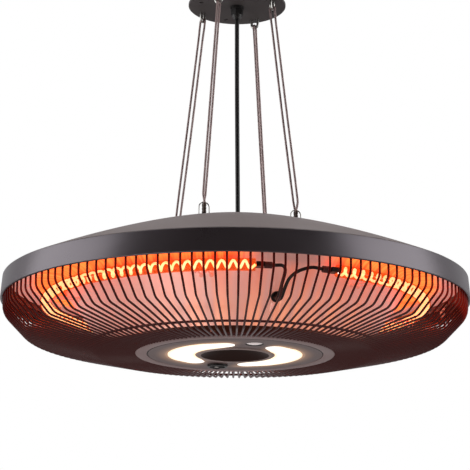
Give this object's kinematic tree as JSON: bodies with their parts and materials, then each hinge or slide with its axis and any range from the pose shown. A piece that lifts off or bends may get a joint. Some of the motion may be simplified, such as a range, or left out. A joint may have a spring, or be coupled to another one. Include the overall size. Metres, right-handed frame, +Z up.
{
  "type": "hanging infrared patio heater",
  "caption": "Round ceiling-hung radiant heater with a domed cover, a wire guard, glowing quartz tubes, a lit lamp face, a rocker switch, wire rope hangers and a power cord.",
  "frame": {"origin": "centre of the ceiling plate's upper face, where it meets the ceiling", "axes": "+Z up out of the ceiling plate; -Y towards the front, the side of the sensor window; +X to the right seen from the front"},
  "size_m": [0.5999, 0.6, 0.4812],
  "materials": {
    "graphite_paint": "satin powder coat",
    "black_nylon": "moulded, fine grain",
    "zinc_steel": "bright zinc",
    "wire_rope": "stranded steel",
    "dark_sleeve": "crimped, dark",
    "bail_steel": "drawn wire",
    "cord_rubber": "smooth rubber",
    "dark_cap": "satin",
    "dome_paint": "satin grey powder coat",
    "band_paint": "satin grey powder coat",
    "cast_alloy": "as cast",
    "galvanised": "galvanised sheet",
    "bright_sheet": "bright sheet",
    "reflector_sheet": "satin reflector sheet",
    "guard_enamel": "black enamel",
    "quartz": "clear quartz",
    "filament_wire": "glowing when on",
    "cap_enamel": "black enamel",
    "ceramic": "unglazed ceramic",
    "holder_steel": "heat tinted wire",
    "silicone_sleeve": "silicone sleeve",
    "housing_paint": "dark satin",
    "board_green": "board with parts",
    "ivory_nylon": "moulded nylon",
    "bezel_paint": "satin grey",
    "face_paint": "satin grey",
    "dish_paint": "satin dark grey",
    "opal": "opal diffuser, glowing",
    "light_board": "white board with lights",
    "pale_window": "translucent",
    "switch_plastic": "moulded",
    "rocker_plastic": "moulded"
  },
  "bodies": {
    "heater": {"ceiling_plate": "graphite_paint", "ceiling_gland": "black_nylon", "rope_eyes": "zinc_steel", "rope_front_right": "wire_rope", "rope_front_left": "wire_rope", "rope_rear_right": "wire_rope", "rope_rear_left": "wire_rope", "crimp_sleeves": "dark_sleeve", "wire_bails": "bail_steel", "power_cord": "cord_rubber", "top_cap": "dark_cap", "cap_grommet": "cord_rubber", "cap_screws": "zinc_steel", "top_shell": "dome_paint", "rim_band": "band_paint", "hanger_posts": "cast_alloy", "post_screws": "zinc_steel", "support_cross": "galvanised", "heat_shield": "bright_sheet", "reflector": "reflector_sheet", "reflector_screws": "zinc_steel", "inlet_gland": "black_nylon", "guard_bars": "guard_enamel", "guard_top_ring": "guard_enamel", "guard_support_ring": "guard_enamel", "guard_hub_ring": "guard_enamel", "guard_brackets": "galvanised", "guard_screws": "zinc_steel", "hub_screws": "zinc_steel", "quartz_tube_right": "quartz", "quartz_tube_left": "quartz", "filament_right": "filament_wire", "filament_left": "filament_wire", "tube_end_caps": "cap_enamel", "ceramic_ends": "ceramic", "tube_holders": "holder_steel", "lead_wires_front": "silicone_sleeve", "lead_wires_rear": "silicone_sleeve", "wire_grommets": "cord_rubber", "housing_bushings": "cord_rubber", "lamp_housing": "housing_paint", "control_board": "board_green", "board_standoffs": "zinc_steel", "terminal_block": "ivory_nylon", "bezel_ring": "bezel_paint", "face_plate": "face_paint", "centre_dish": "dish_paint", "light_cover_right": "opal", "light_cover_left": "opal", "light_board_right": "light_board", "light_board_left": "light_board", "sensor_window": "pale_window", "sensor_board": "board_green", "switch_body": "switch_plastic"},
    "rocker": {"switch_rocker": "rocker_plastic"}
  },
  "joints": [
    {"name": "switch_tilt", "type": "hinge", "parent": "heater", "child": "rocker", "pos_m": [0, 0.077, -0.47604], "axis": [1, 0, 0], "range_deg": [0, 24]}
  ]
}
